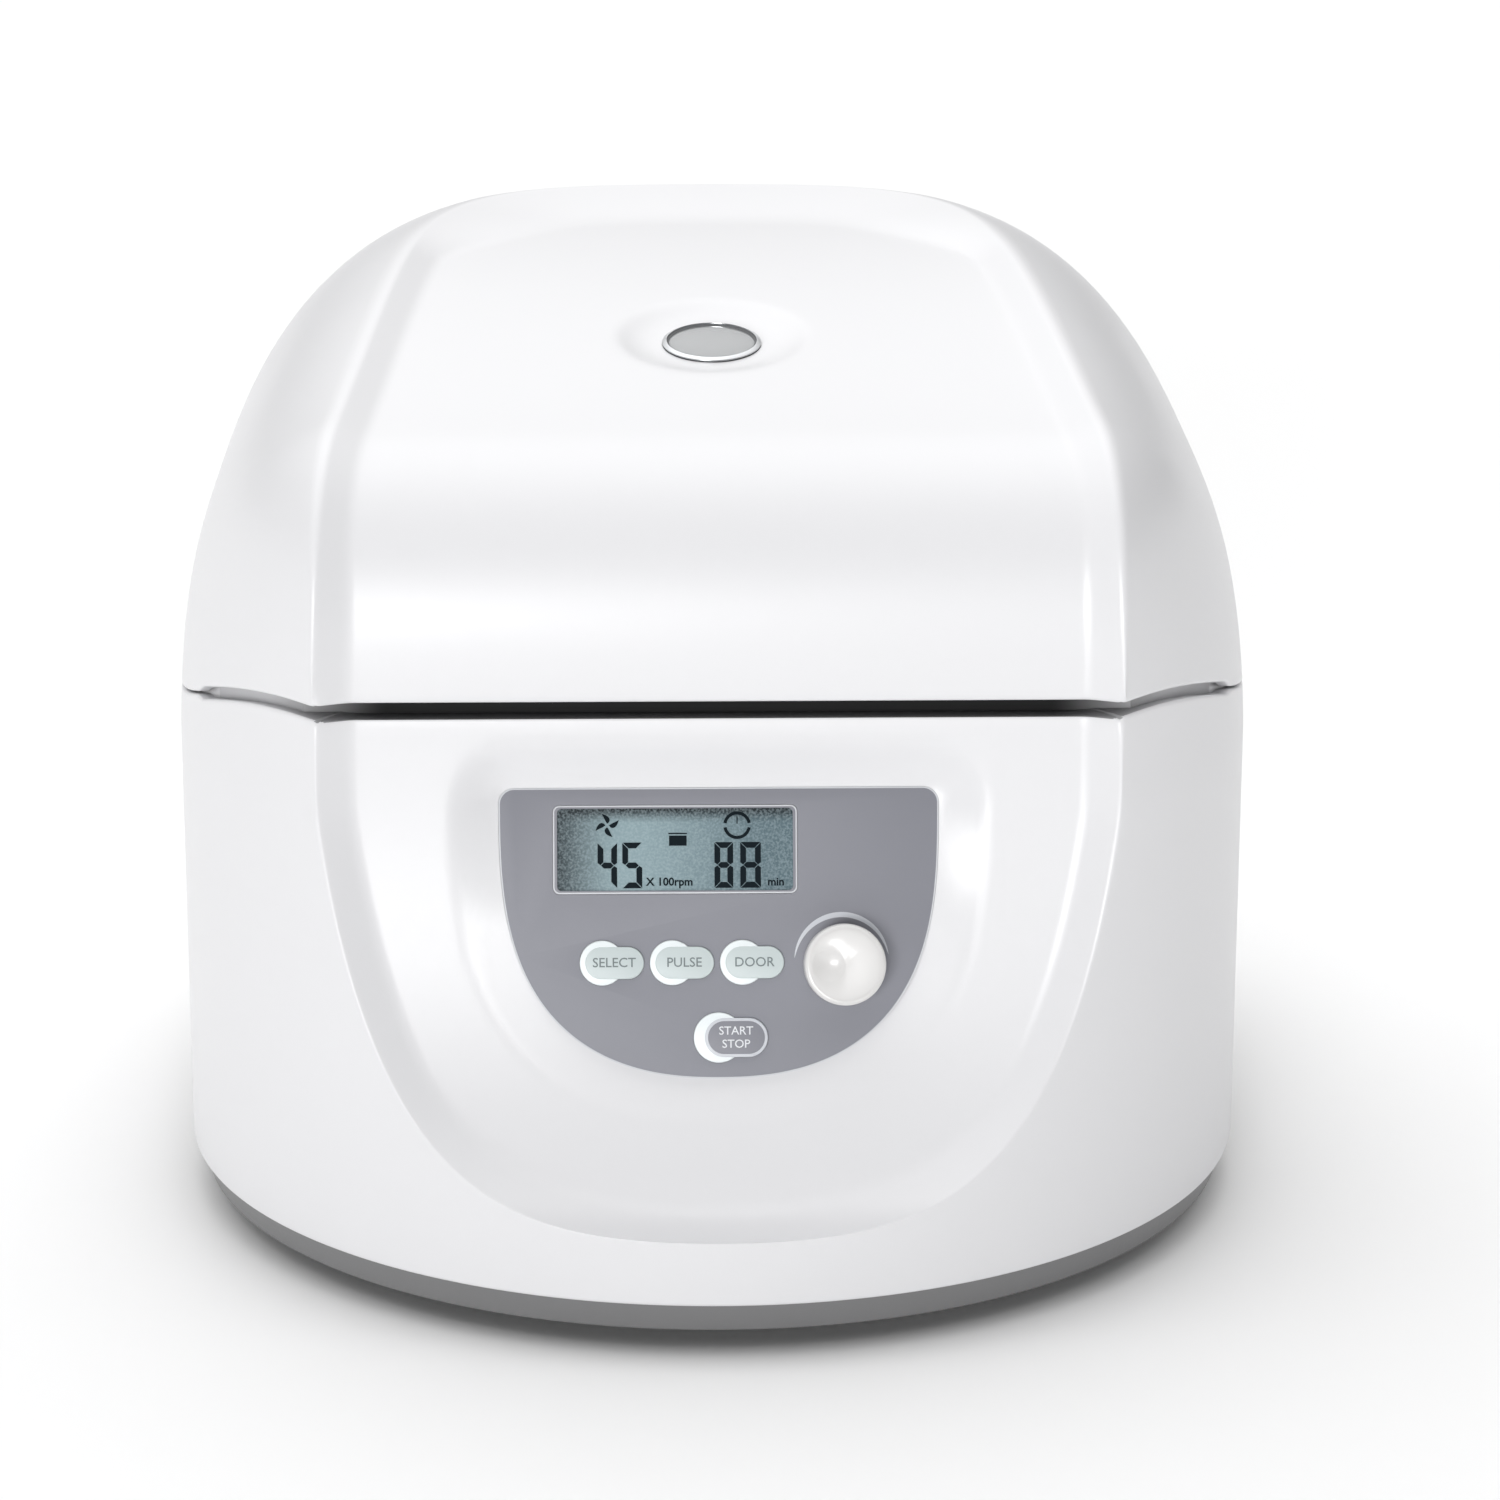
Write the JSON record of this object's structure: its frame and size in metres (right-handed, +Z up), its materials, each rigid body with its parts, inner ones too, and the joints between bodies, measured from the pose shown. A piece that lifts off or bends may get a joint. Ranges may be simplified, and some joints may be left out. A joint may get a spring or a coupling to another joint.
{
  "type": "low-speed bench centrifuge",
  "caption": "Bench centrifuge with a domed rear-hinged lid, angle rotor, round viewing window, control panel with keys and knob, and rubber feet.",
  "frame": {"origin": "centre of the plan, on the surface that the feet stand on", "axes": "+X to the right as seen from the front, -Y towards the control panel, +Z up"},
  "size_m": [0.3024, 0.3638, 0.261],
  "materials": {
    "casing_white": "gloss white moulded plastic",
    "base_grey": "satin grey moulded plastic",
    "overlay_grey": "fine-grained printed panel foil",
    "display_clear": "clear acrylic",
    "module_dark": "black moulded plastic",
    "board_green": "lacquered circuit board",
    "key_pale": "pale satin plastic",
    "knob_white": "gloss white moulded plastic",
    "rubber": "moulded rubber",
    "steel": "brushed stainless steel",
    "alloy": "anodised aluminium"
  },
  "bodies": {
    "root": {"base_tray": "base_grey", "foot_1": "rubber", "foot_2": "rubber", "foot_3": "rubber", "foot_4": "rubber", "housing_shell": "casing_white", "deck_plate": "casing_white", "control_overlay": "overlay_grey", "display_lens": "display_clear", "display_module": "module_dark", "control_board": "board_green", "encoder_body": "steel", "chamber_bowl": "steel", "chamber_wall": "steel", "chamber_gasket": "rubber", "motor_can": "alloy", "motor_plate": "steel", "damper_1": "rubber", "damper_2": "rubber", "damper_3": "rubber", "upper_bearing": "steel", "lower_bearing": "steel", "shaft_boot": "rubber", "lock_body": "module_dark", "hinge_bracket_left": "steel", "hinge_bracket_right": "steel", "hinge_pin_left": "steel", "hinge_pin_right": "steel", "power_board": "board_green", "power_inlet": "module_dark", "switch_frame": "module_dark", "vent_grille": "base_grey"},
    "lid": {"lid_shell": "casing_white", "lid_liner": "base_grey", "lid_hook": "steel", "sight_tube": "module_dark", "window_bezel": "steel", "window_lens": "display_clear", "hinge_arm_left": "steel", "hinge_arm_right": "steel"},
    "rotor": {"drive_shaft": "steel", "rotor_body": "alloy", "rotor_nut": "steel", "tube_sleeve_1": "key_pale", "tube_sleeve_2": "key_pale", "tube_sleeve_3": "key_pale", "tube_sleeve_4": "key_pale", "tube_sleeve_5": "key_pale", "tube_sleeve_6": "key_pale", "tube_sleeve_7": "key_pale", "tube_sleeve_8": "key_pale"},
    "knob": {"speed_time_knob": "knob_white", "knob_shaft": "steel"},
    "select": {"select_key": "key_pale"},
    "pulse": {"pulse_key": "key_pale"},
    "door": {"door_key": "key_pale"},
    "start_stop": {"start_stop_key": "key_pale"},
    "bolt": {"latch_bolt": "steel"},
    "rocker": {"power_rocker": "module_dark"},
    "fuse": {"fuse_drawer": "module_dark"}
  },
  "joints": [
    {"name": "lid_hinge", "type": "hinge", "parent": "root", "child": "lid", "pos_m": [0, 0.1774, 0.146], "axis": [-1, 0, 0], "range_deg": [0, 75]},
    {"name": "rotor_spin", "type": "hinge", "parent": "root", "child": "rotor", "pos_m": [0, -0.0019, 0.1], "axis": [0, 0, 1], "continuous": true},
    {"name": "knob_turn", "type": "hinge", "parent": "root", "child": "knob", "pos_m": [0.0332, -0.14211, 0.09606], "axis": [0, -0.9511, 0.309], "continuous": true},
    {"name": "select_press", "type": "slide", "parent": "root", "child": "select", "axis": [0, 0.9511, -0.309], "range_m": [0, 0.0007], "stiffness_N_per_m": 1500},
    {"name": "pulse_press", "type": "slide", "parent": "root", "child": "pulse", "axis": [0, 0.9511, -0.309], "range_m": [0, 0.0007], "stiffness_N_per_m": 1500},
    {"name": "door_press", "type": "slide", "parent": "root", "child": "door", "axis": [0, 0.9511, -0.309], "range_m": [0, 0.0007], "stiffness_N_per_m": 1500},
    {"name": "start_stop_press", "type": "slide", "parent": "root", "child": "start_stop", "axis": [0, 0.9511, -0.309], "range_m": [0, 0.0007], "stiffness_N_per_m": 1500},
    {"name": "bolt_slide", "type": "slide", "parent": "root", "child": "bolt", "axis": [-1, 0, 0], "range_m": [0, 0.007]},
    {"name": "rocker_tip", "type": "hinge", "parent": "root", "child": "rocker", "pos_m": [0.022, 0.1694, 0.048], "axis": [-1, 0, 0], "range_deg": [0, 16]},
    {"name": "fuse_pull", "type": "slide", "parent": "root", "child": "fuse", "axis": [0, 1, 0], "range_m": [0, 0.015]}
  ]
}
